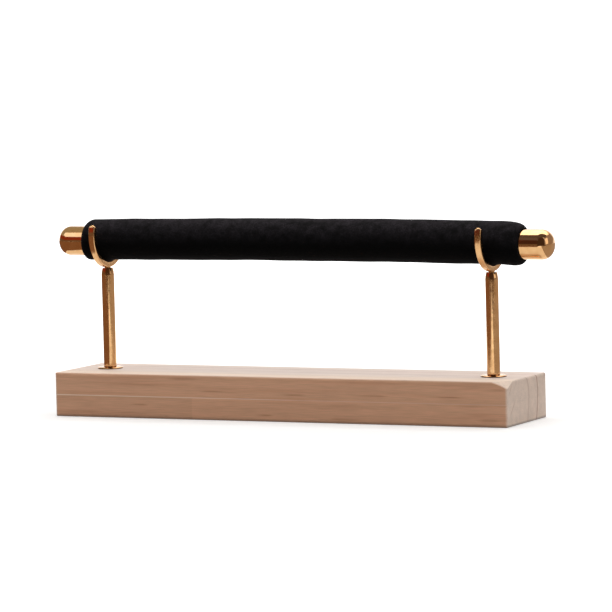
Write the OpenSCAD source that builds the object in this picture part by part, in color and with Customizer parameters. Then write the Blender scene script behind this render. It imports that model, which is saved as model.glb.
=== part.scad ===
/* [Base board] */
// Length of the wooden base, from end to end
base_length = 200; // [150:1:300]
// Width of the wooden base, from front to back
base_width = 40; // [30:1:80]
// Thickness of the planed board
base_thickness = 18; // [14:0.5:30]
// Radius that all the board's edges are eased to
edge_radius = 1; // [0.5:0.1:2.5]
// How far the sanding at the front right corner reaches along the front edge
sanded_front = 10.5; // [6:0.5:14]
// How far it reaches along the end's top edge
sanded_end = 7.5; // [4:0.25:10]
// How far it reaches down the upright edge
sanded_down = 3; // [1.5:0.1:4]
// Radius of the round surface that the sanding leaves
sanding_ball_r = 25; // [22:1:40]

/* [Posts] */
// Distance from each end of the board to the middle of its post
post_inset = 14.6; // [8:0.1:40]
// How far the pair of posts stands to the right of the board's middle
pair_shift = 0.6; // [-2:0.1:2]
// Diameter of the post's rod
post_d = 5.2; // [4.8:0.1:6.5]
// Length of a post, from its flat foot to its flat top
post_length = 40.6; // [25:0.1:70]
// Diameter of the small flat that the post's rounded head ends in
post_top_d = 4.2; // [3.5:0.05:4.2]
// Length of the rounded stretch at the top of a post
post_head = 3; // [2:0.25:8]

/* [Foot washers] */
// Diameter of the polished washer that a post stands on
foot_washer_d = 10.4; // [8:0.1:14]
// Thickness of that washer
foot_washer_t = 0.8; // [0.6:0.05:2]
// Radius of the rounded rim on that washer
foot_washer_rim = 0.55; // [0.2:0.05:0.55]

/* [Cradles] */
// Inner radius of the bent strip
cradle_inner_r = 11.3; // [10:0.1:16]
// Width of the strip, along the bar
strip_width = 2.6; // [2.4:0.1:3.4]
// Thickness of the strip
strip_t = 2.3; // [1.2:0.1:2.4]
// Radius of the strip's four long edges
strip_edge = 0.4; // [0.1:0.05:0.5]
// Angle that each arm of the strip goes on past the half circle
arm_extra = 20; // [0:1:25]
// How far the neck under the strip stays inside the strip's width, on each side
neck_inset = 0.05; // [0.02:0.01:0.08]
// Height of that neck, which shows as a dark groove over the post
neck_h = 0.25; // [0.2:0.05:0.8]

/* [Padded bar] */
// How far the bar reaches past the middle of each post, when it lies evenly
bar_overhang = 23.7; // [22:0.1:40]
// How far the bar lies to the right of that even place
bar_shift = 2.8; // [-3:0.1:3]
// Diameter of the core tube and of its two end caps
core_d = 12; // [11:0.1:13]
// Wall of the core tube
core_wall = 1; // [0.8:0.1:1.5]
// Length of each end cap that stands out of the sleeve
cap_exposed = 12.5; // [8:0.5:14]
// Thickness of the foam round the tube
foam_t = 1.5; // [1.2:0.1:2.2]
// Thickness of the suede
suede_t = 0.6; // [0.4:0.05:0.9]
// Radius of the rounded shoulder at each end of the sleeve
shoulder_r = 4.5; // [4:0.25:7.5]

/* [End caps] */
// Length of a cap that is hidden under the sleeve's mouth
cap_hidden = 3; // [2:0.5:6]
// Radius of the rounded corner of the dome
dome_r = 4.6; // [3.5:0.1:5.2]
// Radius of the crown across the end of the dome
crown_r = 14; // [10:1:40]
// Wall of the cap's spigot
cap_wall = 1.2; // [0.8:0.1:1.8]
// Length of the spigot that is pushed into the tube
spigot_length = 8; // [5:0.5:14]

/* [Fixings under the base] */
// Thread diameter of the screw that holds a post
screw_d = 3; // [2.8:0.1:3.2]
// Length of thread that the screw has inside the post
screw_engagement = 7; // [4:0.5:12]
// Diameter of the screw's pan head
screw_head_d = 5.8; // [5.2:0.1:7]
// Height of the screw's pan head
screw_head_h = 2; // [1.6:0.1:2.6]
// Length of each slot of the cross recess
recess_length = 3.2; // [2.4:0.1:4]
// Width of each slot of the cross recess
recess_width = 0.7; // [0.5:0.05:1]
// Depth of the cross recess
recess_depth = 1.1; // [0.6:0.1:1.2]
// Diameter of the plain washer under the screw's head
plain_washer_d = 7.6; // [7:0.1:8.4]
// Thickness of the plain washer
plain_washer_t = 0.5; // [0.4:0.05:1]
// Diameter of the counterbore in the board's underside
counterbore_d = 9; // [8.6:0.1:12]
// Depth of the counterbore
counterbore_depth = 6; // [4.5:0.25:8]
// Diameter of the stud under a cradle, which screws into the post
stud_d = 2; // [1.6:0.1:2]
// Length of that stud inside the post
stud_length = 6; // [4:0.5:8]

/* [Clearances] */
// Play round a screw or stud in its tapped hole, on the radius
thread_play = 0.05; // [0.02:0.01:0.1]
// Play round a screw in a plain hole, on the radius
hole_play = 0.2; // [0.1:0.05:0.4]
// Play between the soft layers and the core, on the radius
layer_play = 0.1; // [0.05:0.05:0.2]
// Play of the cap's spigot in the tube, on the radius
spigot_play = 0.03; // [0.02:0.01:0.1]
// Play of the sleeve's mouth round the cap, on the radius
mouth_play = 0.15; // [0.1:0.05:0.3]
// Gap between the bar's underside and the bottom of the cradles
seat_gap = 0.1; // [0.05:0.05:0.3]
// Depth left free past the end of a screw or stud in its hole
hole_spare = 1; // [0.5:0.5:2]

/* [Hidden] */
$fn = 96;

gold = [0.86, 0.62, 0.32];
pine = [0.88, 0.76, 0.63];
suede = [0.06, 0.055, 0.06];
foam = [0.25, 0.25, 0.26];
steel = [0.62, 0.63, 0.65];

// A cut runs this far past the face that it opens through
past = 1;

// The posts, from the board up to the cradles
post_spacing = base_length - 2 * post_inset;
left_x = pair_shift - post_spacing / 2;
right_x = pair_shift + post_spacing / 2;
post_foot_z = base_thickness + foot_washer_t;
post_top_z = post_foot_z + post_length;
strip_bottom_z = post_top_z + neck_h;
neck_d = strip_width - 2 * neck_inset;
cradle_axis_z = strip_bottom_z + strip_t + cradle_inner_r;

// The bar, which lies on the bottom of both cradles
bar_d = core_d + 2 * (foam_t + suede_t) + 4 * layer_play;
bar_x = pair_shift + bar_shift;
bar_z = strip_bottom_z + strip_t + seat_gap + bar_d / 2;
bar_length = post_spacing + 2 * bar_overhang;
sleeve_length = bar_length - 2 * cap_exposed;
mouth_r = core_d / 2 + mouth_play;
cap_length = cap_exposed + cap_hidden;
tube_length = bar_length - 2 * cap_length;
spigot_d = core_d - 2 * core_wall - 2 * spigot_play;

// The screws, which pull the posts down from below
plain_washer_z = counterbore_depth - plain_washer_t;
screw_tip_z = post_foot_z + screw_engagement;

// The board: three rounded plates, one along each axis, meet in a block with every edge eased
module base() {
    color(pine)
    difference() {
        intersection() {
            linear_extrude(base_thickness) rounded_plate(base_length, base_width, edge_radius);
            translate([-base_length / 2, 0, base_thickness / 2])
            rotate([90, 0, 90])
            linear_extrude(base_length) rounded_plate(base_width, base_thickness, edge_radius);
            translate([0, base_width / 2, base_thickness / 2])
            rotate([90, 0, 0])
            linear_extrude(base_width) rounded_plate(base_length, base_thickness, edge_radius);
        }
        for (x = [left_x, right_x]) translate([x, 0, 0]) post_hole();
        translate([base_length / 2, -base_width / 2, base_thickness]) corner_sanding();
    }
}

// A through hole for the screw, with a counterbore that takes its washer and head
module post_hole() {
    translate([0, 0, -past]) cylinder(h = base_thickness + 2 * past, d = screw_d + 2 * hole_play);
    translate([0, 0, -past]) cylinder(h = counterbore_depth + past, d = counterbore_d);
}

// What sanding takes off the corner at the origin: all that lies outside a ball,
// whose surface crosses each of the three edges as far from the corner as the sanding reaches
module corner_sanding() {
    front_2 = pow(sanded_front, 2);
    end_2 = pow(sanded_end, 2);
    down_2 = pow(sanded_down, 2);
    // The ball's middle follows from power, its radius squared less its distance to the corner squared
    steepness = (1 / front_2 + 1 / end_2 + 1 / down_2) / 4;
    reach_2 = (front_2 + end_2 + down_2) / 4;
    power = (0.5 - sqrt(0.25 + 4 * steepness * (pow(sanding_ball_r, 2) - reach_2))) / (2 * steepness);
    middle = [
        (power - front_2) / (2 * sanded_front),
        (end_2 - power) / (2 * sanded_end),
        (power - down_2) / (2 * sanded_down)
    ];
    difference() {
        translate([-sanded_front, -past, -sanded_down])
        cube([sanded_front + past, sanded_end + past, sanded_down + past]);
        translate(middle) sphere(r = sanding_ball_r);
    }
}

// The polished washer under a post, with a rounded rim
module foot_washer(x) {
    flat_r = foot_washer_d / 2 - foot_washer_rim;
    rim_z = foot_washer_t - foot_washer_rim;
    color(gold)
    translate([x, 0, base_thickness])
    difference() {
        rotate_extrude() {
            square([flat_r, foot_washer_t]);
            square([foot_washer_d / 2, rim_z]);
            intersection() {
                translate([flat_r, rim_z]) circle(r = foot_washer_rim);
                translate([0, rim_z]) square([foot_washer_d / 2, foot_washer_rim]);
            }
        }
        translate([0, 0, -past]) cylinder(h = foot_washer_t + 2 * past, d = screw_d + 2 * hole_play);
    }
}

// A turned post: straight rod, rounded head, tapped at both ends
module post(x) {
    drop = (post_d - post_top_d) / 2;
    head_r = (post_head * post_head + drop * drop) / (2 * drop);
    color(gold)
    translate([x, 0, post_foot_z])
    difference() {
        rotate_extrude() {
            square([post_d / 2, post_length - post_head]);
            translate([0, post_length - post_head])
            intersection() {
                square([post_d / 2, post_head]);
                translate([post_d / 2 - head_r, 0]) circle(r = head_r);
            }
        }
        translate([0, 0, -past])
        cylinder(h = screw_engagement + hole_spare + past, d = screw_d + 2 * thread_play);
        translate([0, 0, post_length - stud_length - hole_spare])
        cylinder(h = stud_length + hole_spare + past, d = stud_d + 2 * thread_play);
    }
}

// A cradle: a strip bent to a wide U across the bar, on a short neck with a stud
module cradle(x) {
    color(gold)
    translate([x, 0, 0]) {
        translate([0, 0, cradle_axis_z])
        difference() {
            bent_strip();
            arm_end_cut();
            mirror([0, 1, 0]) arm_end_cut();
        }
        // The neck is let in up to the middle of the strip
        translate([0, 0, post_top_z]) cylinder(h = neck_h + strip_t / 2, d = neck_d);
        translate([0, 0, post_top_z - stud_length]) cylinder(h = stud_length + neck_h, d = stud_d);
    }
}

// The strip's arc about the X axis, from the front arm round the bottom to the rear arm
module bent_strip() {
    sweep = 180 + 2 * arm_extra;
    rotate([0, 90, 0])
    rotate([0, 0, -sweep / 2])
    rotate_extrude(angle = sweep)
    translate([cradle_inner_r + strip_t / 2, 0]) rounded_plate(strip_t, strip_width, strip_edge, $fn = 48);
}

// What is cut off the rear arm's end, to leave a half round across the strip
module arm_end_cut() {
    middle_r = cradle_inner_r + strip_t / 2;
    // The half round starts this angle before the arm's end
    round_angle = asin(strip_width / 2 / middle_r);
    rotate([90 + arm_extra - round_angle, 0, 0])
    translate([0, 0, -middle_r])
    difference() {
        translate([-strip_width, 0, -strip_width]) cube(2 * strip_width);
        cylinder(h = 4 * strip_width, d = strip_width, center = true);
    }
}

// The tube that stiffens the bar
module core_tube() {
    color(steel)
    along_bar()
    difference() {
        cylinder(h = tube_length, d = core_d, center = true);
        cylinder(h = tube_length + 2 * past, d = core_d - 2 * core_wall, center = true);
    }
}

// The foam between the tube and the sleeve
module padding() {
    color(foam)
    along_bar()
    rotate_extrude()
    difference() {
        padded_section(suede_t + layer_play);
        bore_section(core_d / 2 + layer_play);
    }
}

// The suede tube, drawn in round both mouths
module suede_sleeve() {
    color(suede)
    along_bar()
    rotate_extrude()
    difference() {
        padded_section(0);
        padded_section(suede_t);
        bore_section(mouth_r);
    }
}

// Half of the padded bar's section with its two rounded shoulders, inset by a thickness
module padded_section(inset) {
    arc_x = bar_d / 2 - shoulder_r;
    // The outer arc comes down to the mouth's radius exactly at the sleeve's end
    arc_y = sleeve_length / 2 - sqrt(pow(shoulder_r, 2) - pow(mouth_r - arc_x, 2));
    translate([0, -arc_y]) square([bar_d / 2 - inset, 2 * arc_y]);
    for (end = [0, 1]) mirror([0, end]) translate([0, arc_y]) {
        square([arc_x, shoulder_r - inset]);
        intersection() {
            translate([arc_x, 0]) circle(r = shoulder_r - inset);
            square(bar_d / 2);
        }
    }
}

// What a bore along the bar takes out of a section
module bore_section(r) {
    translate([0, -sleeve_length]) square([r, 2 * sleeve_length]);
}

// A domed cap with a hollow spigot; side is 1 for the right end and -1 for the left
module end_cap(side) {
    color(gold)
    along_bar()
    mirror([0, 0, side > 0 ? 0 : 1])
    translate([0, 0, tube_length / 2])
    difference() {
        rotate_extrude() {
            domed_profile(core_d / 2, cap_length, dome_r, crown_r);
            translate([0, -spigot_length]) square([spigot_d / 2, spigot_length + cap_wall]);
        }
        translate([0, 0, -spigot_length - past])
        cylinder(h = spigot_length + past + cap_length - dome_r, d = spigot_d - 2 * cap_wall);
    }
}

// Half of a cylinder's section, with a rounded corner that runs on smoothly into a crowned end
module domed_profile(r, h, corner, crown) {
    corner_x = r - corner;
    rise = sqrt(pow(crown - corner, 2) - pow(corner_x, 2));
    corner_y = h - crown + rise;
    reach = 2 * crown / (crown - corner);
    square([r, corner_y]);
    intersection() {
        translate([0, corner_y]) square([r, crown]);
        union() {
            translate([corner_x, corner_y]) circle(r = corner);
            intersection() {
                translate([0, h - crown]) circle(r = crown);
                translate([0, h - crown]) polygon([[0, 0], [corner_x * reach, rise * reach], [0, 2 * crown]]);
            }
        }
    }
}

// The plain washer in a counterbore
module plain_washer(x) {
    color(steel)
    translate([x, 0, plain_washer_z])
    difference() {
        cylinder(h = plain_washer_t, d = plain_washer_d);
        translate([0, 0, -past]) cylinder(h = plain_washer_t + 2 * past, d = screw_d + 2 * hole_play);
    }
}

// The pan-head screw that pulls a post down on its washer
module base_screw(x) {
    color(steel)
    translate([x, 0, plain_washer_z])
    difference() {
        union() {
            cylinder(h = screw_tip_z - plain_washer_z, d = screw_d);
            mirror([0, 0, 1])
            rotate_extrude()
            domed_profile(screw_head_d / 2, screw_head_h, screw_head_h / 2, screw_head_d);
        }
        for (turn = [0, 90]) translate([0, 0, -screw_head_h]) rotate([0, 0, turn])
            cube([recess_length, recess_width, 2 * recess_depth], center = true);
    }
}

// A rectangle about the origin with rounded corners
module rounded_plate(width, height, r) {
    square([width - 2 * r, height], center = true);
    square([width, height - 2 * r], center = true);
    for (x = [-1, 1], y = [-1, 1])
        translate([x * (width / 2 - r), y * (height / 2 - r)]) circle(r = r);
}

// Lays what is drawn along Z on the bar's axis, with its top to the right
module along_bar() {
    translate([bar_x, 0, bar_z]) rotate([0, 90, 0]) children();
}

base();
foot_washer(left_x);  // foot_washer_left
foot_washer(right_x);  // foot_washer_right
post(left_x);  // post_left
post(right_x);  // post_right
cradle(left_x);  // cradle_left
cradle(right_x);  // cradle_right
core_tube();
padding();
suede_sleeve();
end_cap(-1);  // end_cap_left
end_cap(1);  // end_cap_right
plain_washer(left_x);  // plain_washer_left
plain_washer(right_x);  // plain_washer_right
base_screw(left_x);  // base_screw_left
base_screw(right_x);  // base_screw_right
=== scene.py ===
"""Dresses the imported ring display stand: a pine board, gold-plated uprights and a bar covered in black suede."""

import logging
import math
from dataclasses import dataclass
from enum import Enum
from functools import partial
from typing import Any

import bmesh
import bpy
import numpy as np
from mathutils import Matrix, Vector


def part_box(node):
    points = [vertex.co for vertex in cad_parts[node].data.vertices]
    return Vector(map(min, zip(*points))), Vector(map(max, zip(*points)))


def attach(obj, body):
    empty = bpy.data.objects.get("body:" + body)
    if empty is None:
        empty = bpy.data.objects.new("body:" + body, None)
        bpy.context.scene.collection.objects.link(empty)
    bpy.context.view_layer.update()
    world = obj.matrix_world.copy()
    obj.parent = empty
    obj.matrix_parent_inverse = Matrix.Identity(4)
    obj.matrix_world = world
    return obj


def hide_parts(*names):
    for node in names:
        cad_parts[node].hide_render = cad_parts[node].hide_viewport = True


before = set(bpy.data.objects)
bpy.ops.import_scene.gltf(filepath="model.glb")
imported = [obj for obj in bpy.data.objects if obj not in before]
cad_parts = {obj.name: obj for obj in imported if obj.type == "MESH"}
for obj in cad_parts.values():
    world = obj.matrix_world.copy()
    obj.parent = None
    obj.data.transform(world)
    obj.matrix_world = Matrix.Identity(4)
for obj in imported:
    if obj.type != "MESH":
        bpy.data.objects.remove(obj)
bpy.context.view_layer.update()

MM = 0.001
BODY = "root"
PHOTO_SIDE_PX = 612
SENSOR_WIDTH_MM = 36.0
SHARP_DEG = 35.0
log = logging.getLogger("ring_stand")

Colour = tuple[float, float, float, float]
Triple = tuple[float, float, float]
Pair = tuple[float, float]
Faces = list[tuple[int, ...]]
Shape = tuple[np.ndarray, Faces]
Node = bpy.types.Node
Socket = bpy.types.NodeSocket
Inputs = dict[str | int, Any]


class Slot(Enum):
    """The record's material slots."""

    PINE = "pine"
    GOLD_PLATE = "gold_plate"
    SUEDE = "suede"
    FOAM = "foam"
    STEEL = "steel"


class Side(Enum):
    """The two ends of the stand, as its nodes are named."""

    LEFT = "left"
    RIGHT = "right"


def linear(hex_colour: str) -> Colour:
    """Turns an sRGB colour into the linear one that the shaders take.

    Args:
        hex_colour: The colour as six hex digits, with or without a leading #.

    Returns:
        Red, green and blue in linear light, and an alpha of 1.
    """
    parts = (int(hex_colour.lstrip("#")[i : i + 2], 16) / 255 for i in (0, 2, 4))
    red, green, blue = (c / 12.92 if c <= 0.04045 else ((c + 0.055) / 1.055) ** 2.4 for c in parts)
    return red, green, blue, 1.0


def per_mm(along_x: float, along_y: float, along_z: float) -> Triple:
    """The mapping scale at which a pattern's features have these sizes, in millimetres."""
    return 1 / (along_x * MM), 1 / (along_y * MM), 1 / (along_z * MM)


def feed(node: Node, inputs: Inputs) -> None:
    """Sets a node's properties and inputs, and links the inputs that another node feeds.

    Args:
        node: The node.
        inputs: A value, a hex colour, a socket or a node, by the name of a property or by the
            name or number of an input. A node gives its first output. Properties come first.
    """
    for name, value in inputs.items():
        if isinstance(value, Node):
            value = value.outputs[0]
        elif isinstance(value, str) and value.startswith("#"):
            value = linear(value)
        if isinstance(value, Socket):
            node.id_data.links.new(value, node.inputs[name])
        elif isinstance(name, str) and hasattr(node, name):
            setattr(node, name, value)
        else:
            node.inputs[name].default_value = value


def add_node(tree: bpy.types.NodeTree, kind: str, inputs: Inputs | None = None) -> Node:
    """Adds one shader node.

    Args:
        tree: The node tree that takes it.
        kind: The node's type, without its leading ShaderNode, and its operation if it has one.
        inputs: What it gets, as feed takes it.

    Returns:
        The new node.
    """
    kind, _, operation = kind.partition(" ")
    node = tree.nodes.new("ShaderNode" + kind)
    if operation:
        node.operation = operation
    feed(node, inputs or {})
    return node


def ramp(value: Any, low: float, high: float, start: float = 0.0, end: float = 1.0, smooth: bool = False) -> Inputs:
    """What a Map Range node gets to turn one range into another.

    Args:
        value: The socket or node to be turned.
        low: Where it gives the start, and below.
        high: Where it gives the end, and above.
        start: What it gives at low.
        end: What it gives at high.
        smooth: Whether both ends are eased.

    Returns:
        The node's inputs.
    """
    kind = "SMOOTHSTEP" if smooth else "LINEAR"
    limits = {"From Min": low, "From Max": high, "To Min": start, "To Max": end}
    return {"interpolation_type": kind, "Value": value, **limits}


@dataclass(frozen=True)
class Finish:
    """A finish that pieces are dressed in; each kind paints its own nodes."""

    label: str

    def material(self) -> bpy.types.Material:
        """Gives the finish's material, which is made at the first call.

        Returns:
            The material.
        """
        found = bpy.data.materials.get(self.label)
        if found:
            return found
        made = bpy.data.materials.new(self.label)
        made.use_nodes = True
        nodes = made.node_tree.nodes
        painted = self.paint(partial(add_node, made.node_tree))
        if "Surface" in painted:
            nodes.remove(nodes["Principled BSDF"])
            feed(nodes["Material Output"], painted)
        else:
            feed(nodes["Principled BSDF"], painted)
        return made

    def paint(self, add: partial) -> Inputs:
        """Adds the finish's nodes to a new material.

        Args:
            add: Adds a node to the material.

        Returns:
            What the main shader gets, or the Surface that stands in its place.
        """
        raise NotImplementedError

    def dress(self, piece: bpy.types.Object) -> None:
        """Gives a piece this finish all over."""
        piece.data.materials.clear()
        piece.data.materials.append(self.material())


@dataclass(frozen=True)
class PlanedPine(Finish):
    """Unvarnished pine, planed and sanded.

    The eye gets a pale, dry surface with fine lengthwise fibres, growth rings that show as soft
    stripes along the faces and as thin dark lines across the ends, and a few short resin streaks.
    """

    earlywood: str = "#EFDDD3"
    latewood: str = "#A2755E"
    # The front wood is partly a painted highlight: paler along the top's front edge
    front_wood_and_highlight: str = "#FFE8D5"
    # The heartwood colour on the long faces is partly painted shade of the front face
    heartwood_and_shade: str = "#D09266"
    reddish: str = "#B97E5F"
    streak: str = "#A06A4C"
    end_wood: str = "#DCC7B8"
    glue: str = "#FFF0DC"
    # The patterns with their size in mm along X, Y and Z, and their detail: how the rings wander,
    # the fibres, slower bands of tone, and redder bands of summer wood. A real fibre is 0.04 mm
    # wide, drawn here as bundles of 0.4 mm so that they show
    patterns: tuple[tuple[str, Triple, float], ...] = (
        ("drift", (90.0, 14.0, 14.0), 2.0),
        ("fibre", (9.0, 0.4, 0.4), 4.0),
        ("band", (70.0, 2.4, 2.4), 2.0),
        ("red", (48.0, 1.6, 1.6), 3.0),
    )
    # The tree's middle lies just outside the front face, so rings stand nearly upright at the rear
    pith_y: float = -23.0
    pith_z: float = 9.0
    ring_mm: float = 9.0
    ring_phase: float = 0.985
    ring_wander: float = 3.0
    # The long faces are a darker, flat-sawn layer, partly real tone and partly painted shade on the front face: half
    # the board's depth, and how deep it goes
    face_y: float = 20.0
    face_depth: float = 0.9
    end_x: float = 100.0
    # The board is glued up of two layers, and the lower one is butt-jointed
    glue_z: float = 8.9
    joint_x: float = -37.6
    # The top turns from the warm, pale front strip, which is a painted highlight along its front edge, to the greyer
    # rest between these two places
    highlight_y: Pair = (-15.0, -4.0)
    # The lowest millimetre is darkened with painted contact shade where the board meets the floor
    contact_shade_mm: Pair = (0.4, 1.4)
    contact_shade_tone: float = 0.62
    # Resin streaks on the front face: middle X and Z, half length and half height, in mm
    streaks: tuple[tuple[float, float, float, float], ...] = (
        (-28.6, 11.6, 6.0, 0.5),
        (7.7, 11.0, 6.5, 0.45),
        (42.3, 11.35, 8.5, 0.5),
        (74.9, 11.5, 9.0, 0.5),
        (-61.6, 5.6, 5.0, 0.45),
        (-41.3, 16.5, 8.0, 0.7),
        (-5.0, 2.6, 4.5, 0.5),
        (29.7, 1.7, 8.0, 0.6),
        (92.3, 2.7, 6.0, 0.6),
        (95.6, 14.7, 5.0, 0.6),
    )
    # Slanting ring lines on the right end: middle Y and Z, half length, half width and slant in degrees
    end_lines: tuple[tuple[float, float, float, float, float], ...] = (
        (-14.6, 7.0, 5.0, 0.35, 47.0),
        (-16.5, 14.6, 3.2, 0.35, 52.0),
    )
    mark_depth: float = 9.0

    def paint(self, add: partial) -> Inputs:
        """Lays rings, fibres, streaks and the glue line over the solid block."""
        coordinates = add("TexCoord").outputs
        place = coordinates["Object"]
        facing = add("SeparateXYZ", {0: coordinates["Normal"]}).outputs
        end_grain = add("Math ABSOLUTE", {0: facing["X"]})
        split = add("SeparateXYZ", {0: place}).outputs
        pattern = {}
        for name, size, detail in self.patterns:
            mapped = add("Mapping", {"Scale": per_mm(*size), "Vector": place})
            pattern[name] = add("TexNoise", {"Scale": 1.0, "Detail": detail, "Vector": mapped})

        # Growth rings: distance from the pith, bent by a slow wander along the board
        pith = (0, self.pith_y * MM, self.pith_z * MM)
        from_pith = add("VectorMath SUBTRACT", {0: place, 1: pith})
        across = add("VectorMath MULTIPLY", {0: from_pith, 1: (0, 1 / MM, 1 / MM)})
        radius = add("VectorMath LENGTH", {0: across}).outputs["Value"]
        bent = add("Math MULTIPLY_ADD", {0: pattern["drift"], 1: self.ring_wander, 2: radius})
        rings = add("Math DIVIDE", {0: bent, 1: self.ring_mm})
        phased = add("Math SUBTRACT", {0: rings, 1: self.ring_phase})
        turn = add("Math FRACT", {0: phased})
        dark_ring = self._product(add, (
            ramp(turn, 0.84, 0.95, smooth=True),
            ramp(turn, 0.96, 1.0, 1.0, 0.0, smooth=True),
            ramp(radius, 18.0, 33.0),
            ramp(end_grain, 0.0, 1.0, 0.4, 0.8),
        ))

        off_middle = add("Math ABSOLUTE", {0: split["Y"]})
        inside = self.face_y - self.face_depth
        # The darker face layer: partly flat-sawn tone, partly painted shade on the front face
        face_layer_and_shade = add("MapRange", ramp(off_middle, inside * MM, self.face_y * MM, 0.0, 0.8, smooth=True))
        # rear fades the painted highlight of the front strip into the greyer top
        rear = add("MapRange", ramp(split["Y"], *(y * MM for y in self.highlight_y)))
        red_faces = self._product(add, (ramp(pattern["red"], 0.5, 0.72, 0.0, 0.45), ramp(face_layer_and_shade, 0.0, 1.0)))
        wood: Any = self.front_wood_and_highlight
        for share, tone in (
            (rear, self.earlywood),
            (face_layer_and_shade, self.heartwood_and_shade),
            (end_grain, self.end_wood),
            (dark_ring, self.latewood),
            (red_faces, self.reddish),
        ):
            wood = add("Mix", {"data_type": "RGBA", 0: share, 6: wood, 7: tone}).outputs[2]
        for name, low, high in (("fibre", 0.87, 1.11), ("band", 0.92, 1.07)):
            gain = add("MapRange", ramp(pattern[name], 0.25, 0.75, low, high))
            wood = add("VectorMath SCALE", {0: wood, "Scale": gain})

        marks = self._marks(add, place, pattern["fibre"])
        marked = add("Mix", {"data_type": "RGBA", 0: marks, 6: wood, 7: self.streak}).outputs[2]
        glued = self._glue_line(add, split, end_grain, marked, pattern["drift"])
        # Painted contact shade: the lowest millimetre of the board is darker
        contact_shade = add("MapRange", ramp(split["Z"], *(z * MM for z in self.contact_shade_mm), self.contact_shade_tone, 1.0, smooth=True))
        return {
            "Base Color": add("VectorMath SCALE", {0: glued, "Scale": contact_shade}),
            "Normal": add("Bump", {"Strength": 0.35, "Distance": 0.06 * MM, "Height": pattern["fibre"]}),
            "Roughness": add("MapRange", ramp(pattern["fibre"], 0.0, 1.0, 0.52, 0.72)),
            "IOR": 1.45,
        }

    @staticmethod
    def _product(add: partial, ramps: tuple[Inputs, ...]) -> Node:
        """Multiplies ramps with one another.

        Args:
            add: Adds a node to the material.
            ramps: What each Map Range node gets.

        Returns:
            The last node of the product.
        """
        total = add("MapRange", ramps[0])
        for inputs in ramps[1:]:
            total = add("Math MULTIPLY", {0: total, 1: add("MapRange", inputs)})
        return total

    def _marks(self, add: partial, place: Socket, fibre: Node) -> Node:
        """Where the resin streaks and the slanting lines lie.

        Args:
            add: Adds a node to the material.
            place: The point on the board.
            fibre: The fibre noise, which frays them.

        Returns:
            A mask from 0 to 1.
        """
        deep = self.mark_depth
        marks = [((x, -self.face_y, z), (length, deep, height), 0.0) for x, z, length, height in self.streaks]
        marks += [((self.end_x, y, z), (deep, length, width), slant) for y, z, length, width, slant in self.end_lines]
        total: Any = 0.0
        for middle, size, slant in marks:
            local = add("Mapping", {
                "vector_type": "TEXTURE",
                "Location": [v * MM for v in middle],
                "Rotation": (math.radians(slant), 0, 0),
                "Scale": [v * MM for v in size],
                "Vector": place,
            })
            far = add("VectorMath LENGTH", {0: local}).outputs["Value"]
            spot = add("MapRange", ramp(far, 0.2, 1.15, 1.0, 0.0, smooth=True))
            total = add("Math MAXIMUM", {0: total, 1: spot})
        frayed = add("MapRange", ramp(fibre, 0.38, 0.62, 0.1, 0.65))
        return add("Math MULTIPLY", {0: total, 1: frayed})

    def _glue_line(
        self, add: partial, split: Any, end_grain: Node, wood: Socket, drift: Node
    ) -> Socket:
        """Draws the pale line between the two layers, and the joint in the lower one.

        Args:
            add: Adds a node to the material.
            split: The point's X, Y and Z.
            end_grain: 1 on the board's ends and 0 along it.
            wood: The wood's colour so far.
            drift: A slow noise, which makes the line fade and come back.

        Returns:
            The colour with the line and the joint.
        """
        above = add("Math SUBTRACT", {0: split["Z"], 1: self.glue_z * MM})
        lower = add("Math LESS_THAN", {0: above, 1: 0.0})
        right = add("Math GREATER_THAN", {0: split["X"], 1: self.joint_x * MM})
        tone = add("MapRange", ramp(right, 0.0, 1.0, 0.955, 1.03))
        gain = add("Mix", {"data_type": "FLOAT", 0: lower, 2: 1.0, 3: tone})
        toned = add("VectorMath SCALE", {0: wood, "Scale": gain})
        shown = self._product(add, (
            ramp(add("Math ABSOLUTE", {0: above}), 0.05 * MM, 0.28 * MM, 0.6, 0.0, smooth=True),
            ramp(split["X"], -10 * MM, 12 * MM, 1.0, 0.25),
            ramp(drift, 0.3, 0.6, 0.55, 1.0),
            ramp(end_grain, 0.0, 1.0, 1.0, 0.0),
        ))
        return add("Mix", {"data_type": "RGBA", 0: shown, 6: toned, 7: self.glue}).outputs[2]


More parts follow.
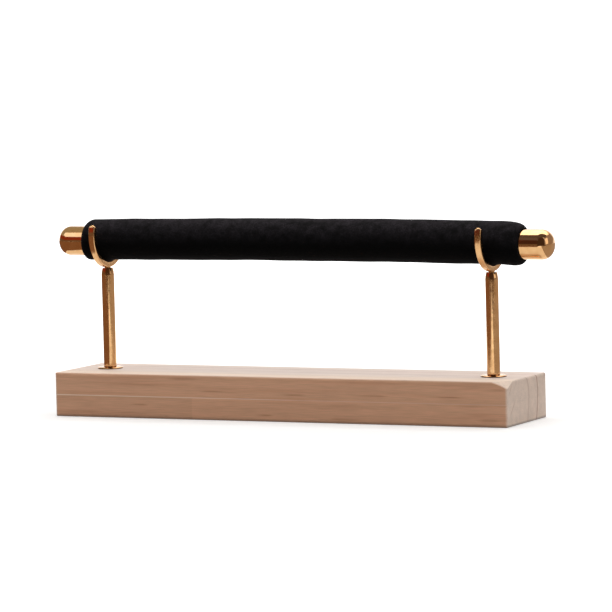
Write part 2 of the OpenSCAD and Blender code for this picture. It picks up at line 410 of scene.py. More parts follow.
@dataclass(frozen=True)
class GoldPlate(Finish):
    """Brass plated with gold, polished or left with the faint lines of drawing.

    The eye gets a warm mirror: bands of the surroundings with crisp edges, a little broken
    along the drawn lines.
    """

    colour: str = "#E2B582"
    worn: str = "#D8A771"
    roughness: float = 0.09
    # Size of the drawn lines along X, Y and Z in mm. Real ones are 0.02 mm apart, and drawn
    # coarser here so that they show
    line_mm: Triple | None = None
    line_depth_mm: float = 0.004
    # rim is a painted shade colour for the sideways-facing foot of a washer's rim
    rim: str | None = None

    def paint(self, add: partial) -> Inputs:
        """Lays the plate's tone, its polish marks and its drawn lines."""
        coordinates = add("TexCoord").outputs
        place = coordinates["Object"]
        # Handling and polishing leave patches of 3 mm that are a little duller
        patches = add("TexNoise", {"Scale": 1 / (3 * MM), "Detail": 3.0, "Vector": place})
        spread = add("MapRange", ramp(patches, 0.35, 0.7))
        tone = add("Mix", {"data_type": "RGBA", 0: spread, 6: self.colour, 7: self.worn}).outputs[2]
        if self.rim:
            # Painted shade: the washer's rim is darkened where it faces sideways
            upward = add("SeparateXYZ", {0: coordinates["Normal"]}).outputs["Z"]
            shaded_side = add("MapRange", ramp(upward, 0.3, 0.7, 1.0, 0.0))
            tone = add("Mix", {"data_type": "RGBA", 0: shaded_side, 6: tone, 7: self.rim}).outputs[2]
        # Hand polishing leaves the surface very slightly wavy
        waves = add("TexNoise", {"Scale": 1 / (2.2 * MM), "Detail": 1.0, "Vector": place})
        bump = add("Bump", {"Strength": 1.0, "Distance": 0.012 * MM, "Height": waves})
        if self.line_mm:
            mapped = add("Mapping", {"Scale": per_mm(*self.line_mm), "Vector": place})
            lines = add("TexNoise", {"Scale": 1.0, "Detail": 2.0, "Vector": mapped})
            deep = self.line_depth_mm * MM
            bump = add("Bump", {"Strength": 1.0, "Distance": deep, "Height": lines, "Normal": bump})
        rough = add("MapRange", ramp(spread, 0.0, 1.0, self.roughness * 0.8, self.roughness * 1.5))
        return {"Base Color": tone, "Roughness": rough, "Normal": bump, "Metallic": 1.0}


@dataclass(frozen=True)
class Suede(Finish):
    """Black microfibre suede, brushed after dyeing.

    The eye gets a deep black that greys toward purple on top, as painted light, with the
    underside in painted shade, and cloudy patches where the nap lies another way.
    """

    # deep is painted shade for the underside, darker than the cloth's own colour
    deep: str = "#040404"
    colour: str = "#121112"
    brushed: str = "#343035"
    sheen: str = "#A79FA9"

    def paint(self, add: partial) -> Inputs:
        """Lays the nap's clouds, its fibres, its sheen, and painted light that is paler on top and darker below."""
        coordinates = add("TexCoord").outputs
        place = coordinates["Object"]
        clouds = add("TexNoise", {"Scale": 1 / (4 * MM), "Detail": 5.0, "Roughness": 0.7, "Vector": place})
        # Nap fibres are 0.02 mm thick, drawn here as tufts of 0.5 mm so that they show
        tufts = add("TexNoise", {"Scale": 1 / (0.5 * MM), "Detail": 2.0, "Vector": place})
        cloudy = add("MapRange", ramp(clouds, 0.36, 0.66))
        tufted = add("MapRange", ramp(tufts, 0.3, 0.7, 0.3, 1.0))
        lift = add("Math MULTIPLY", {0: cloudy, 1: tufted})
        tone = add("Mix", {"data_type": "RGBA", 0: lift, 6: self.colour, 7: self.brushed}).outputs[2]
        # Painted light and shade: the tone shows on top and the deep colour below, by the way the surface faces
        facing = add("SeparateXYZ", {0: coordinates["Normal"]}).outputs["Z"]
        painted_top_light = add("MapRange", ramp(facing, -0.35, 0.95, smooth=True))
        height = add("Math MULTIPLY_ADD", {0: clouds, 1: 0.5, 2: tufts})
        return {
            "Base Color": add("Mix", {"data_type": "RGBA", 0: painted_top_light, 6: self.deep, 7: tone}).outputs[2],
            "Normal": add("Bump", {"Strength": 0.6, "Distance": 0.08 * MM, "Height": height}),
            "Roughness": 0.95,
            "IOR": 1.4,
            "Specular IOR Level": 0.08,
            "Sheen Weight": 0.05,
            "Sheen Roughness": 0.45,
            "Sheen Tint": self.sheen,
        }


@dataclass(frozen=True)
class Foam(Finish):
    """Grey open-cell foam, cut to a tube.

    The eye gets a dull, even grey that is pitted all over by the cut cells.
    """

    colour: str = "#6C6D70"
    pit: str = "#3A3B3E"

    def paint(self, add: partial) -> Inputs:
        """Lays the cut cells, 0.6 mm across."""
        place = add("TexCoord").outputs["Object"]
        cells = add("TexVoronoi", {"Scale": 1 / (0.6 * MM), "Vector": place}).outputs["Distance"]
        return {
            "Base Color": add("Mix", {"data_type": "RGBA", 0: cells, 6: self.pit, 7: self.colour}).outputs[2],
            "Normal": add("Bump", {"Strength": 0.8, "Distance": 0.2 * MM, "Height": cells}),
            "Roughness": 0.9,
        }


@dataclass(frozen=True)
class BrightSteel(Finish):
    """Steel with a bright zinc coat, as tube and screws come.

    The eye gets a cool grey metal with a soft shine and faint blotches of the coat.
    """

    colour: str = "#C3C7CB"
    blotch: str = "#A9AFB4"
    roughness: float = 0.3

    def paint(self, add: partial) -> Inputs:
        """Lays the coat's blotches, 1.5 mm across, and its fine grain."""
        place = add("TexCoord").outputs["Object"]
        blotches = add("TexNoise", {"Scale": 1 / (1.5 * MM), "Detail": 4.0, "Vector": place})
        return {
            "Base Color": add("Mix", {"data_type": "RGBA", 0: blotches, 6: self.colour, 7: self.blotch}).outputs[2],
            "Roughness": add("MapRange", ramp(blotches, 0.0, 1.0, self.roughness * 0.8, self.roughness * 1.3)),
            "Normal": add("Bump", {"Strength": 0.4, "Distance": 0.01 * MM, "Height": blotches}),
            "Metallic": 1.0,
        }


PINE = PlanedPine("planed_pine")
POLISHED_GOLD = GoldPlate("polished_gold_plate")
# The washers' gold has painted shade on the foot of its rim
RIM_SHADED_GOLD = GoldPlate("rim_shaded_gold_plate", rim="#6A4A2A")
SATIN_GOLD = GoldPlate("satin_gold_plate", roughness=0.18)
DRAWN_GOLD = GoldPlate("drawn_gold_plate", roughness=0.1, line_mm=(0.35, 0.35, 40.0))
SUEDE = Suede("black_suede")
FOAM = Foam("open_cell_foam")
STEEL = BrightSteel("bright_zinc_steel")


def keep_node(name: str, finish: Finish) -> None:
    """Shows a CAD node as it is, in its finish.

    Args:
        name: The node's name.
        finish: What it is dressed in.
    """
    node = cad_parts[name]
    finish.dress(node)
    log.info("%s keeps its CAD shape, in %s", name, finish.label)


def new_object(name: str, data: bpy.types.ID) -> bpy.types.Object:
    """Adds an object to the scene.

    Args:
        name: Its name.
        data: Its mesh, light or camera.

    Returns:
        The new object.
    """
    made = bpy.data.objects.new(name, data)
    bpy.context.scene.collection.objects.link(made)
    return made


def new_piece(name: str, node: str, shape: Shape, finish: Finish) -> bpy.types.Object:
    """Makes a smooth-shaded piece that rides on the stand and takes a CAD node's place.

    Args:
        name: The piece's name.
        node: The node it replaces.
        shape: Its points in metres, and its faces.
        finish: What it is dressed in.

    Returns:
        The new object.
    """
    points, faces = shape
    mesh = bpy.data.meshes.new(name)
    mesh.from_pydata(points.tolist(), [], faces)
    mesh.validate()
    outward = bmesh.new()
    outward.from_mesh(mesh)
    bmesh.ops.recalc_face_normals(outward, faces=outward.faces)
    outward.to_mesh(mesh)
    outward.free()
    mesh.shade_smooth()
    mesh.set_sharp_from_angle(angle=math.radians(SHARP_DEG))
    piece = new_object(name, mesh)
    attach(piece, BODY)
    finish.dress(piece)
    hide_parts(node)
    log.info("%s has %d faces, in %s", name, len(mesh.polygons), finish.label)
    return piece


def arc(middle: Pair, radius: float, start: float, end: float, steps: int) -> list[Pair]:
    """Gives points along an arc.

    Args:
        middle: The arc's middle.
        radius: Its radius.
        start: The angle of its first point, in degrees.
        end: The angle of its last point, in degrees.
        steps: How many steps it is divided into.

    Returns:
        The points, both ends included.
    """
    angles = [math.radians(start + (end - start) * i / steps) for i in range(steps + 1)]
    return [(middle[0] + radius * math.cos(a), middle[1] + radius * math.sin(a)) for a in angles]


def bands(count: int, around: int, closed: bool) -> Faces:
    """Gives the faces between rings of points that follow one another.

    Args:
        count: How many rings there are.
        around: How many points each ring has.
        closed: Whether the last ring is joined to the first.

    Returns:
        The four-sided faces.
    """
    faces = []
    for i in range(count if closed else count - 1):
        first, second = i * around, (i + 1) % count * around
        for j in range(around):
            k = (j + 1) % around
            faces.append((first + j, first + k, second + k, second + j))
    return faces


def turned(profile: list[Pair], around: int = 192) -> Shape:
    """Turns a profile about the Z axis, as a lathe would.

    Args:
        profile: Radius and height of each point. One that starts on the axis ends there too;
            any other one is closed to its start.
        around: How many points each ring has.

    Returns:
        Points in the profile's unit, and faces.
    """
    rings = np.array([point for point in profile if point[0] > 0])
    turn = np.linspace(0, 2 * math.pi, around, endpoint=False)
    radius, height = rings[:, :1], rings[:, 1:]
    points = np.stack([radius * np.cos(turn), radius * np.sin(turn), height + 0 * turn], axis=-1).reshape(-1, 3)
    solid = profile[0][0] == 0
    faces = bands(len(rings), around, closed=not solid)
    if solid:
        last = (len(rings) - 1) * around
        points = np.concatenate([points, [(0, 0, profile[0][1]), (0, 0, profile[-1][1])]])
        for j in range(around):
            k = (j + 1) % around
            faces.append((j, k, len(points) - 2))
            faces.append((last + k, last + j, len(points) - 1))
    return points, faces


def joined(first: Shape, second: Shape) -> Shape:
    """Two shapes as one."""
    shift = len(first[0])
    return np.concatenate([first[0], second[0]]), first[1] + [tuple(i + shift for i in face) for face in second[1]]


@dataclass
class Board:
    """The pine board and the fixings in its underside."""

    def build(self) -> None:
        """Dresses the board, and the washers and screws below it."""
        keep_node("base", PINE)
        for side in Side:
            keep_node(f"plain_washer_{side.value}", STEEL)
            keep_node(f"base_screw_{side.value}", STEEL)


@dataclass
class Upright:
    """A post on its foot washer, with the cradle on top; sizes are in mm, places come from the nodes."""

    side: Side
    washer_bore: float = 1.7
    washer_rim: float = 0.35
    washer_flat: float = 2.8
    rod_radius: float = 2.6
    top_radius: float = 2.1
    head: float = 3.0
    eased: float = 0.12
    # The rod is straight from this far above its foot
    foot: float = 0.5
    screw_hole: Pair = (1.55, 8.0)
    stud_hole: Pair = (1.05, 7.0)
    strip_width: float = 2.6
    strip_thickness: float = 2.3
    strip_edge: float = 0.4
    # The flat of the strip's faces starts this far inside the rounded edge
    flat_inset: float = 0.15
    arm_extra_deg: float = 20.0
    neck_radius: float = 1.25
    neck_height: float = 0.25
    tip_dome: float = 0.7
    stud_radius: float = 1.0

    def build(self) -> None:
        """Makes the three gold-plated pieces of one side."""
        for name, node, shape, finish in (
            ("turned_washer", "foot_washer", self._washer(), RIM_SHADED_GOLD),
            ("turned_post", "post", self._post(), DRAWN_GOLD),
            ("bent_cradle", "cradle", self._cradle(), SATIN_GOLD),
        ):
            side = self.side.value
            new_piece(f"{name}_{side}", f"{node}_{side}", shape, finish)

    def _placed(self, node: str, shape: Shape) -> Shape:
        """A shape in mm round the node's own upright axis, in metres in the frame."""
        low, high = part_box(f"{node}_{self.side.value}")
        return shape[0] * MM + np.array(((low.x + high.x) / 2, (low.y + high.y) / 2, 0.0)), shape[1]

    def _span(self, node: str) -> Pair:
        """A node's bottom and top, in mm."""
        low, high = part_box(f"{node}_{self.side.value}")
        return low.z / MM, high.z / MM

    def _washer(self) -> Shape:
        """Turns the foot washer, crowned from the post's foot out to its rim.

        Returns:
            The washer in metres, in the frame.
        """
        low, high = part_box(f"foot_washer_{self.side.value}")
        radius = (high.x - low.x) / 2 / MM
        bottom, top = self._span("foot_washer")
        profile = [(self.washer_bore, bottom)]
        profile += arc((radius - self.eased, bottom + self.eased), self.eased, -90, 0, 5)
        wide, tall, rim_top = radius - self.washer_flat, top - bottom - self.washer_rim, bottom + self.washer_rim
        turn = np.linspace(0, math.pi / 2, 25)
        profile += [(self.washer_flat + wide * math.cos(a), rim_top + tall * math.sin(a)) for a in turn]
        return self._placed("foot_washer", turned([*profile, (self.washer_bore, top)]))

    def _post(self) -> Shape:
        """Turns the rod with its rounded head, and the tapped hole at each end.

        Returns:
            The post in metres, in the frame.
        """
        bottom, top = self._span("post")
        drop = self.rod_radius - self.top_radius
        head_radius = (self.head**2 + drop**2) / (2 * drop)
        tilt = math.degrees(math.asin(self.head / head_radius))
        screw_radius, screw_top = self.screw_hole[0], bottom + self.screw_hole[1]
        stud_radius, stud_end = self.stud_hole[0], top - self.stud_hole[1]
        profile = [(0, screw_top), (screw_radius, screw_top), (screw_radius, bottom)]
        profile += arc((self.rod_radius - self.eased, bottom + self.eased), self.eased, -90, 0, 5)
        profile.append((self.rod_radius, bottom + self.foot))
        profile += arc((self.rod_radius - head_radius, top - self.head), head_radius, 0, tilt, 32)
        profile += [(stud_radius, top), (stud_radius, stud_end), (0, stud_end)]
        return self._placed("post", turned(profile))

    def _cradle(self) -> Shape:
        """Makes the bent strip on its neck, with the stud below.

        Returns:
            The cradle in metres, in the frame.
        """
        low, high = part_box(f"cradle_{self.side.value}")
        outer, stud_end = (high.y - low.y) / 2 / MM, low.z / MM
        _, post_top = self._span("post")
        axis = post_top + self.neck_height + outer
        neck_top = post_top + self.neck_height + self.strip_thickness / 2
        neck = [(0, stud_end), (self.stud_radius, stud_end), (self.stud_radius, post_top)]
        neck += [(self.neck_radius, post_top), (self.neck_radius, neck_top), (0, neck_top)]
        return self._placed("cradle", joined(self._strip(outer - self.strip_thickness / 2, axis), turned(neck, 96)))

    def _strip(self, middle: float, axis: float, along: int = 180, round_steps: int = 24) -> Shape:
        """Bends the strip: a stack of outlines from its inner to its outer face.

        Args:
            middle: Radius of the middle of the strip's thickness.
            axis: Height of the axis that it is bent about.
            along: Steps along each long side.
            round_steps: Steps round each half-round end.

        Returns:
            The strip in mm, with its lowest point under the axis at Y 0.
        """
        half_t, edge = self.strip_thickness / 2, self.strip_edge
        levels = [(-half_t, edge + self.flat_inset)]
        turn = np.linspace(0, math.pi / 2, 8)
        levels += [(-half_t + edge - edge * math.cos(a), edge - edge * math.sin(a)) for a in turn]
        levels += [(-depth, inset) for depth, inset in levels[::-1]]
        reach = middle * math.radians(90 + self.arm_extra_deg) - self.strip_width / 2
        points = []
        for depth, inset in levels:
            half_w, radius = self.strip_width / 2 - inset, middle + depth
            outline = [(s, half_w) for s in np.linspace(-reach, reach, along, endpoint=False)]
            # Polishing has rounded the arm's tip over, across the strip's thickness
            short = self.tip_dome * (1 - math.sqrt(max(0.0, 1 - (depth / half_t) ** 2))) / half_w
            outline += [(s - (s - reach) * short, x) for s, x in arc((reach, 0.0), half_w, 90, -90, round_steps)[:-1]]
            outline += [(-s, -x) for s, x in outline]
            points += [(x, radius * math.sin(s / middle), axis - radius * math.cos(s / middle)) for s, x in outline]
        around = len(points) // len(levels)
        faces = bands(len(levels), around, closed=False)
        # The inner and the outer face are closed from side to side, going out from the rear arm's tip
        tip = along + round_steps // 2
        for first in (0, len(points) - around):
            for i in range(around // 2):
                corners = (first + (tip + step) % around for step in (-i, -i - 1, i + 1, i))
                faces.append(tuple(dict.fromkeys(corners)))
        return np.array(points), faces


@dataclass
class PaddedBar:
    """The bar: a steel tube in foam, a sleeve of suede drawn over it, and a gold cap at each end."""

    wall: float = 0.6 * MM
    cap_mm: float = 15.5
    cap_foot_mm: float = 0.4
    spigot: Pair = (4.97, 8.0)
    bore: float = 3.77
    dome_radius: float = 4.6
    crown_radius: float = 14.0
    mouth_radius: float = 6.15 * MM
    mouth_lip: float = 0.02 * MM
    foam_bore: float = 6.1 * MM
    foam_lip: float = 0.05 * MM
    left_radius: float = 8.32 * MM
    middle_radius: float = 8.55 * MM
    right_radius: float = 8.62 * MM
    left_shoulder: float = 3.8 * MM
    right_shoulder: float = 5.6 * MM
    # 2 draws a shoulder as a quarter circle, and more makes it blunter
    bluntness: float = 2.6
    rise: float = 0.5 * MM
    left_ramp: float = 3.0 * MM
    right_ramp: float = 11.0 * MM
    bow: float = 0.7 * MM
    lump: float = 0.07 * MM
    # The waves that make the lumps: length along the bar in mm, turns round it, phase and weight
    waves: tuple[tuple[float, int, float, float], ...] = (
        (61.0, 1, 0.4, 1.0),
        (34.0, 2, 1.9, 0.7),
        (19.0, 1, 4.1, 0.45),
        (12.5, 3, 2.6, 0.3),
    )
    layer_gap: float = 0.1 * MM
    neck_height: float = 0.25 * MM
    cradle_radius: float = 11.3 * MM
    cradle_gap: float = 0.03 * MM
    strip_half: float = 1.3 * MM
    strip_fade: float = 2.2 * MM
    # The underside touches the strip this far round from its lowest point, and lets go by the second angle
    seat_deg: Pair = (16.0, 40.0)
    around: int = 144
    along: int = 220

    def build(self) -> None:
        """Makes the caps, the sleeve and the foam, and dresses the tube."""
        keep_node("core_tube", STEEL)
        for side in Side:
            end = side.value
            new_piece(f"domed_cap_{end}", f"end_cap_{end}", self._cap(side), POLISHED_GOLD)
        sleeve = new_piece("suede_roll", "suede_sleeve", self._sleeve(), SUEDE)
        foam = new_piece("foam_roll", "padding", self._foam(), FOAM)

    def _cap(self, side: Side) -> Shape:
        """Turns a domed cap with its hollow spigot.

        Args:
            side: The end of the bar that it closes.

        Returns:
            The cap in metres, in the frame.
        """
        low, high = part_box(f"end_cap_{side.value}")
        radius, length, corner = (high.z - low.z) / 2 / MM, self.cap_mm, self.dome_radius
        rise = math.sqrt((self.crown_radius - corner) ** 2 - (radius - corner) ** 2)
        meet = math.degrees(math.atan2(rise, radius - corner))
        crown = length - self.crown_radius
        spigot_radius, spigot_length = self.spigot
        profile = [(0, length - corner), (self.bore, length - corner), (self.bore, -spigot_length)]
        profile += [(spigot_radius, -spigot_length), (spigot_radius, 0), (radius, 0), (radius, self.cap_foot_mm)]
        profile += arc((radius - corner, crown + rise), corner, 0, meet, 48)
        profile += arc((0.0, crown), self.crown_radius, meet, 90, 16)[1:-1] + [(0, length)]
        points, faces = turned(profile)
        outward, tip = (1, high.x) if side is Side.RIGHT else (-1, low.x)
        along = tip + outward * (points[:, 2] - length) * MM
        return np.stack([along, points[:, 1] * MM, points[:, 0] * MM + (low.z + high.z) / 2], axis=-1), faces

    def _ends(self, node: str) -> tuple[Pair, float]:
        """Where a node of the bar starts and ends along X, and the height of its middle."""
        low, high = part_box(node)
        return (low.x, high.x), (low.z + high.z) / 2

    def _radius(self, x: np.ndarray, span: Pair) -> np.ndarray:
        """Gives the sleeve's outer radius along the bar, without its shoulders.

        Args:
            x: Places along the bar.
            span: Where the sleeve or the foam starts and ends.

        Returns:
            The radius at each place.
        """
        share = (x - span[0]) / (span[1] - span[0])
        left, middle, right = self.left_radius, self.middle_radius, self.right_radius
        return left * (1 - share) * (1 - 2 * share) + 4 * middle * share * (1 - share) + right * share * (2 * share - 1)

    def _lift(self, x: np.ndarray, span: Pair) -> np.ndarray:
        """Gives how far the soft roll stands higher than its tube: at once past its mouths, and by its bow.

        Args:
            x: Places along the bar.
            span: Where the sleeve or the foam starts and ends.

        Returns:
            The height at each place.
        """
        share = 2 * (x - span[0]) / (span[1] - span[0]) - 1
        near = np.clip(np.minimum((x - span[0]) / self.left_ramp, (span[1] - x) / self.right_ramp), 0, 1)
        return self.rise * (0.5 - 0.5 * np.cos(math.pi * near)) + self.bow * (1 - share**2)

    def _drawn_in(self, x: np.ndarray, span: Pair) -> np.ndarray:
        """How far each ring is into a shoulder: 0 along the roll and 1 at its mouths."""
        return np.clip(1 - np.minimum((x - span[0]) / self.left_shoulder, (span[1] - x) / self.right_shoulder), 0, 1)

    def _rounding(self, drawn_in: np.ndarray, depth: float) -> np.ndarray:
        """How much of its full height over the mouth a skin has; deeper ones draw in a little sooner."""
        sooner = np.clip(drawn_in * (1 + depth / self.left_shoulder), 0, 1)
        return (1 - sooner**self.bluntness) ** (1 / self.bluntness)

    def _grid(self, x: np.ndarray) -> list[np.ndarray]:
        """The place along the bar and the angle of every point of rings at these places."""
        return np.meshgrid(x, np.linspace(0, 2 * math.pi, self.around, endpoint=False), indexing="ij")

    def _skin(self, x: np.ndarray, radius: np.ndarray, middle_z: float, span: Pair, depth: float) -> np.ndarray:
        """Gives the points of one skin of the roll, ring by ring.

        Args:
            x: Each ring's place along the bar.
            radius: Each ring's radius.
            middle_z: The height of the bar's middle at its ends.
            span: Where the sleeve or the foam starts and ends.
            depth: How far this skin lies under the sleeve's outer one.

        Returns:
            The points, one row each.
        """
        xx, tt = self._grid(x)
        wave = np.zeros_like(xx)
        for length, turns, phase, weight in self.waves:
            wave += weight * np.sin(2 * math.pi * xx / (length * MM) + phase) * np.cos(turns * tt + 2 * phase)
        rr = radius[:, None] + self.lump * wave * (1 - self._drawn_in(xx, span))
        y = -rr * np.cos(tt)
        z = middle_z + self._lift(xx, span) + rr * np.sin(tt)
        return np.stack([xx, y, self._seated(xx, y, z, depth)], axis=-1).reshape(-1, 3)

    def _bore(self, x: np.ndarray, radius: float, middle_z: float) -> np.ndarray:
        """The points of a straight bore round the tube, ring by ring."""
        xx, tt = self._grid(x)
        return np.stack([xx, -radius * np.cos(tt), middle_z + radius * np.sin(tt)], axis=-1).reshape(-1, 3)

    def _seated(self, x: np.ndarray, y: np.ndarray, z: np.ndarray, depth: float) -> np.ndarray:
        """Lets the soft underside lie into both strips, as the bar's weight does.

        Args:
            x: The points' places along the bar.
            y: Their places across it.
            z: Their heights.
            depth: How far their skin lies under the sleeve's outer one.

        Returns:
            The heights, a little lower over the strips.
        """
        touching, free = (math.radians(angle) for angle in self.seat_deg)
        for side in Side:
            low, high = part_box(f"cradle_{side.value}")
            outer = (high.y - low.y) / 2
            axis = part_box(f"post_{side.value}")[1].z + self.neck_height + outer
            away = np.clip((np.abs(x - (low.x + high.x) / 2) - self.strip_half) / self.strip_fade, 0, 1)
            below = np.clip((axis - z) / np.hypot(y, axis - z), -1, 1)
            turned_away = np.clip((np.arccos(below) - touching) / (free - touching), 0, 1)
            share = (0.5 + 0.5 * np.cos(math.pi * away)) * (0.5 + 0.5 * np.cos(math.pi * turned_away))
            floor = axis - np.sqrt(np.clip((self.cradle_radius - self.cradle_gap - depth) ** 2 - y**2, 0, None))
            z = z - np.clip(z - floor, 0, None) * share
        return z

    def _sleeve(self) -> Shape:
        """Makes the suede sleeve, with rounded shoulders that are drawn in onto the caps.

        Returns:
            The sleeve in metres, in the frame.
        """
        span, middle_z = self._ends("suede_sleeve")
        (start, end), left, right = span, self.left_shoulder, self.right_shoulder
        ease = 1 - np.cos(np.linspace(0, math.pi / 2, 16))
        body = np.linspace(start + left, end - right, self.along)
        x = np.concatenate([start + left * ease, body[1:-1], (end - right * ease)[::-1]])
        drawn_in = self._drawn_in(x, span)
        outer = self._radius(x, span) - self.mouth_radius
        inner = np.clip(outer - self.wall, 0, None)
        outer = self.mouth_radius + outer * self._rounding(drawn_in, 0.0)
        inner = self.mouth_radius + inner * self._rounding(drawn_in, self.wall)
        outer[[0, -1]] = self.mouth_radius + self.mouth_lip
        skins = [
            self._skin(x, outer, middle_z, span, 0.0),
            self._skin(x[-2:0:-1], inner[-2:0:-1], middle_z, span, self.wall),
        ]
        return np.concatenate(skins), bands(2 * len(x) - 2, self.around, closed=True)

    def _foam(self) -> Shape:
        """Makes the foam tube, which follows the sleeve's bow.

        Returns:
            The foam in metres, in the frame.
        """
        span, middle_z = self._ends("padding")
        under = self.wall + self.layer_gap
        x = np.linspace(*span, self.along)
        full = self._radius(x, span) - under - self.foam_bore
        outer = self.foam_bore + full * self._rounding(self._drawn_in(x, span), under)
        outer[[0, -1]] = self.foam_bore + self.foam_lip
        skins = [self._skin(x, outer, middle_z, span, under), self._bore(x[::-1], self.foam_bore, middle_z)]
        return np.concatenate(skins), bands(2 * len(x), self.around, closed=True)


def seen_rays(add: partial) -> Node:
    """Tells the rays that see the background from those that light it.

    Args:
        add: Adds a node to the tree.

    Returns:
        The node that gives 1 for rays by which the camera, metal or glass sees it, and else 0.
    """
    path = add("LightPath").outputs
    first = add("Math MAXIMUM", {0: path["Is Camera Ray"], 1: path["Is Glossy Ray"]})
    return add("Math MAXIMUM", {0: first, 1: path["Is Transmission Ray"]})


@dataclass(frozen=True)
class PaperSweep(Finish):
    """Matt white background paper.

    The eye gets plain white that keeps only the stand's soft shadow.
    """

    colour: str = "#E4E5E6"
    near_glow: float = 0.3
    far_glow: float = 1.05
    # Between these distances from the stand, in metres, the glow grows
    growing: Pair = (0.16, 0.5)

    def paint(self, add: partial) -> Inputs:
        """Adds a plain glow for what looks at the paper, weaker round the stand so that its shadow stays."""
        place = add("TexCoord").outputs["Object"]
        far = add("VectorMath LENGTH", {0: place}).outputs["Value"]
        glow = add("MapRange", ramp(far, *self.growing, self.near_glow, self.far_glow, smooth=True))
        strength = add("Math MULTIPLY", {0: glow, 1: seen_rays(add)})
        paper = add("BsdfDiffuse", {"Color": self.colour})
        return {"Surface": add("AddShader", {0: paper, 1: add("Emission", {"Strength": strength})})}


@dataclass(frozen=True)
class CardLight(Finish):
    """A studio card that gives one even tone.

    The eye sees it only as a broad band in the metal: a painted reflection that glows though it is no lamp.
    """

    colour: str = "#000000"
    glow: float = 1.0

    def paint(self, add: partial) -> Inputs:
        """Lays one even glow."""
        return {"Surface": add("Emission", {"Color": self.colour, "Strength": self.glow})}


@dataclass(frozen=True)
class Card:
    """A flat card in the studio, outside the camera's view, whose even glow the metal shows in place of the paper: a
    painted reflection.

    Its spans are in metres from under the point that the camera is aimed at: across the view to
    the right, toward the camera, and up. Along one of them it has no thickness. A card beside the
    view closes in by its narrowing for each metre toward the camera, as the view's edge does.
    """

    name: str
    colour: str
    across: Pair
    toward: Pair
    up: Pair
    glow: float = 1.0
    narrowing: float = 0.0

    def corners(self, azimuth: float, aim: Triple) -> list[Triple]:
        """Places the card's corners in the frame.

        Args:
            azimuth: How far the camera is turned to the right, in radians.
            aim: The point that it is aimed at.

        Returns:
            The four corners, in order.
        """
        spans = (self.across, self.toward, self.up)
        wide = [i for i, (low, high) in enumerate(spans) if low != high]
        corners = []
        for ends in ((0, 0), (1, 0), (1, 1), (0, 1)):
            across, toward, up = (span[ends[wide.index(i)]] if i in wide else span[0] for i, span in enumerate(spans))
            across -= math.copysign(self.narrowing, across) * toward
            x = aim[0] + across * math.cos(azimuth) + toward * math.sin(azimuth)
            corners.append((x, aim[1] + across * math.sin(azimuth) - toward * math.cos(azimuth), up))
        return corners


@dataclass(frozen=True)
class Softbox:
    """A soft lamp with a square front."""

    name: str
    place: Triple
    aim: Triple
    width: float
    height: float
    radiance: float
    colour: str = "#FFFFFF"


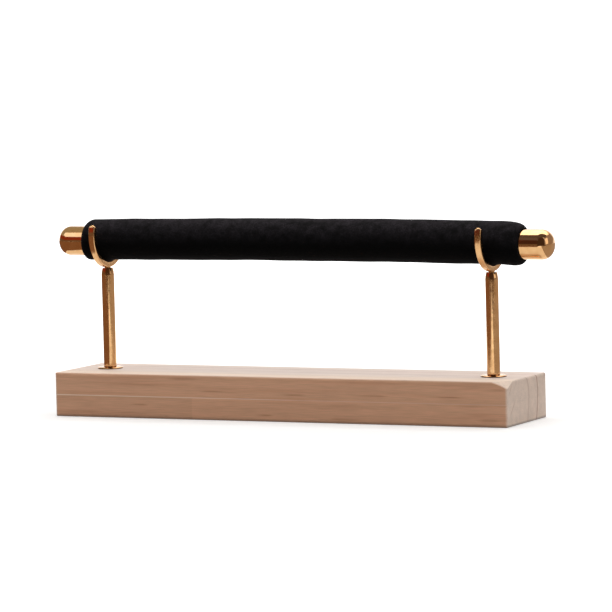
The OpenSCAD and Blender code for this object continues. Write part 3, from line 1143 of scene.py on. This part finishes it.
@dataclass
class Studio:
    """The paper sweep, the lamps, the cards that the metal reflects, and the camera; sizes are in metres."""

    # The paper ends this far before and behind the stand, and this far to each side
    sweep_front: float = -2.6
    sweep_rear: float = 2.4
    sweep_side: float = 3.0
    sweep_height: float = 2.0
    sweep_bend: float = 0.8
    ambient: float = 0.22
    azimuth_deg: float = 25.498
    elevation_deg: float = 4.757
    roll_deg: float = -1.41
    distance: float = 1839.5 * MM
    focal_px: float = 4581.9
    target: Triple = (4.766 * MM, 0.0, 44.815 * MM)
    clip: Pair = (0.05, 20.0)
    softboxes: tuple[Softbox, ...] = (
        Softbox("overhead_softbox", (-0.1, 0.243, 0.8), (-0.1, 0.243, 0.0), 1.5, 1.13, 2.05, "#FFFCF8"),
        Softbox("right_softbox", (0.85, -0.05, 0.35), (0.0, 0.0, 0.05), 0.4, 0.5, 1.05, "#FFFAF4"),
    )
    # Each card is a painted reflection: an even glow that only the metal sees, standing for walls, drapes, flags, mats
    # and a window that neither light nor shade the stand
    cards: tuple[Card, ...] = (
        Card("left_wall", "#75604E", (-1.6, -1.6), (-1.8, 2.2), (0.0, 0.33)),
        Card("left_drape", "#8E3A22", (-1.6, -1.6), (-1.8, 1.29), (0.33, 1.5)),
        Card("left_shade", "#4A3026", (-1.6, -1.6), (1.29, 2.2), (0.33, 1.5)),
        Card("left_flag", "#686062", (-1.6, -1.6), (-1.8, 2.2), (1.5, 3.6)),
        Card("top_flag", "#58504C", (-0.41, 0.7), (0.02, 0.5), (0.775, 0.775)),
        Card("front_wall", "#4A3A30", (-1.6, 1.6), (2.2, 2.2), (0.0, 3.6)),
        Card("right_wall", "#A19590", (1.6, 1.6), (-1.8, 2.2), (0.0, 2.2)),
        Card("left_mat", "#8A6850", (-1.6, -0.13), (-1.2, 0.55), (0.002, 0.002), narrowing=0.067),
        Card("front_mat", "#5E4A3C", (-1.6, 1.6), (0.57, 2.2), (0.002, 0.002)),
        Card("right_mat", "#B9ADA3", (0.13, 1.6), (-1.2, 0.55), (0.002, 0.002), narrowing=0.067),
        Card("ceiling_card", "#AAA593", (-1.6, -0.25), (-1.8, -0.11), (0.78, 0.78)),
        Card("ceiling_end", "#AAA593", (-1.6, -0.33), (-0.11, 0.02), (0.78, 0.78)),
        Card("window_card", "#ECF2FF", (-0.6, -0.6), (-0.05, 0.34), (0.41, 0.79), glow=1.75),
    )

    def build(self) -> None:
        """Sets the whole studio up."""
        self._sweep()
        for card in self.cards:
            self._card(card)
        for softbox in self.softboxes:
            self._lamp(softbox)
        self._world()
        self._camera()
        bpy.context.scene.view_settings.view_transform = "Standard"

    def _sweep(self) -> None:
        """Makes the floor, which curves up into the backdrop far behind the stand."""
        rear, bend = self.sweep_rear, self.sweep_bend
        turn = np.linspace(0, math.pi / 2, 25)
        profile = [(self.sweep_front, 0.0)]
        profile += [(rear - bend + bend * math.sin(a), bend - bend * math.cos(a)) for a in turn]
        profile.append((rear, self.sweep_height))
        points = [(x, y, z) for x in (-self.sweep_side, self.sweep_side) for y, z in profile]
        count = len(profile)
        faces = [(i, count + i, count + i + 1, i + 1) for i in range(count - 1)]
        self._stage_piece("paper_sweep", points, faces, PaperSweep("white_paper"))

    def _card(self, card: Card) -> None:
        """Sets up one card, which only the metal sees.

        Args:
            card: The card.
        """
        corners = card.corners(math.radians(self.azimuth_deg), self.target)
        piece = self._stage_piece(card.name, corners, [(0, 1, 2, 3)], CardLight(card.name, card.colour, card.glow))
        piece.visible_camera = False
        piece.visible_diffuse = False
        piece.visible_shadow = False

    def _stage_piece(self, name: str, points: list[Triple], faces: Faces, finish: Finish) -> bpy.types.Object:
        """Makes a mesh that belongs to the studio and not to the stand.

        Args:
            name: Its name.
            points: Its points in metres.
            faces: The numbers of each face's points.
            finish: What it is dressed in.

        Returns:
            The new object.
        """
        mesh = bpy.data.meshes.new(name)
        mesh.from_pydata(points, [], faces)
        mesh.shade_smooth()
        piece = new_object(name, mesh)
        finish.dress(piece)
        return piece

    def _lamp(self, softbox: Softbox) -> None:
        """Hangs one softbox, turned to what it is aimed at.

        Args:
            softbox: The softbox.
        """
        light = bpy.data.lights.new(softbox.name, "AREA")
        light.shape = "RECTANGLE"
        light.size, light.size_y = softbox.width, softbox.height
        light.energy = softbox.radiance * math.pi * softbox.width * softbox.height
        light.color = linear(softbox.colour)[:3]
        lamp = new_object(softbox.name, light)
        lamp.location = softbox.place
        lamp.rotation_euler = (Vector(softbox.aim) - Vector(softbox.place)).to_track_quat("-Z", "Y").to_euler()

    def _world(self) -> None:
        """Sets white for what looks at the background, and a weaker even light for the rest."""
        world = bpy.data.worlds.new("studio")
        world.use_nodes = True
        bpy.context.scene.world = world
        add = partial(add_node, world.node_tree)
        strength = add("MapRange", ramp(seen_rays(add), 0.0, 1.0, self.ambient, 1.0))
        feed(world.node_tree.nodes["Background"], {"Color": (1.0, 1.0, 1.0, 1.0), "Strength": strength})

    def _camera(self) -> None:
        """Places the camera where the photograph was taken from."""
        data = bpy.data.cameras.new("photo_camera")
        data.sensor_width = SENSOR_WIDTH_MM
        data.lens = self.focal_px * SENSOR_WIDTH_MM / PHOTO_SIDE_PX
        data.clip_start, data.clip_end = self.clip
        camera = new_object("photo_camera", data)
        pose = Matrix.Translation(self.target)
        for turn, axis in ((self.azimuth_deg, "Z"), (90 - self.elevation_deg, "X"), (self.roll_deg, "Z")):
            pose @= Matrix.Rotation(math.radians(turn), 4, axis)
        camera.matrix_world = pose @ Matrix.Translation((0.0, 0.0, self.distance))
        bpy.context.scene.camera = camera


def main() -> None:
    """Builds the stand's sub-assemblies in order, then the studio round them."""
    logging.basicConfig(level=logging.INFO, format="%(message)s")
    Board().build()
    for side in Side:
        Upright(side).build()
    PaddedBar().build()
    Studio().build()


if __name__ == "__main__":
    main()
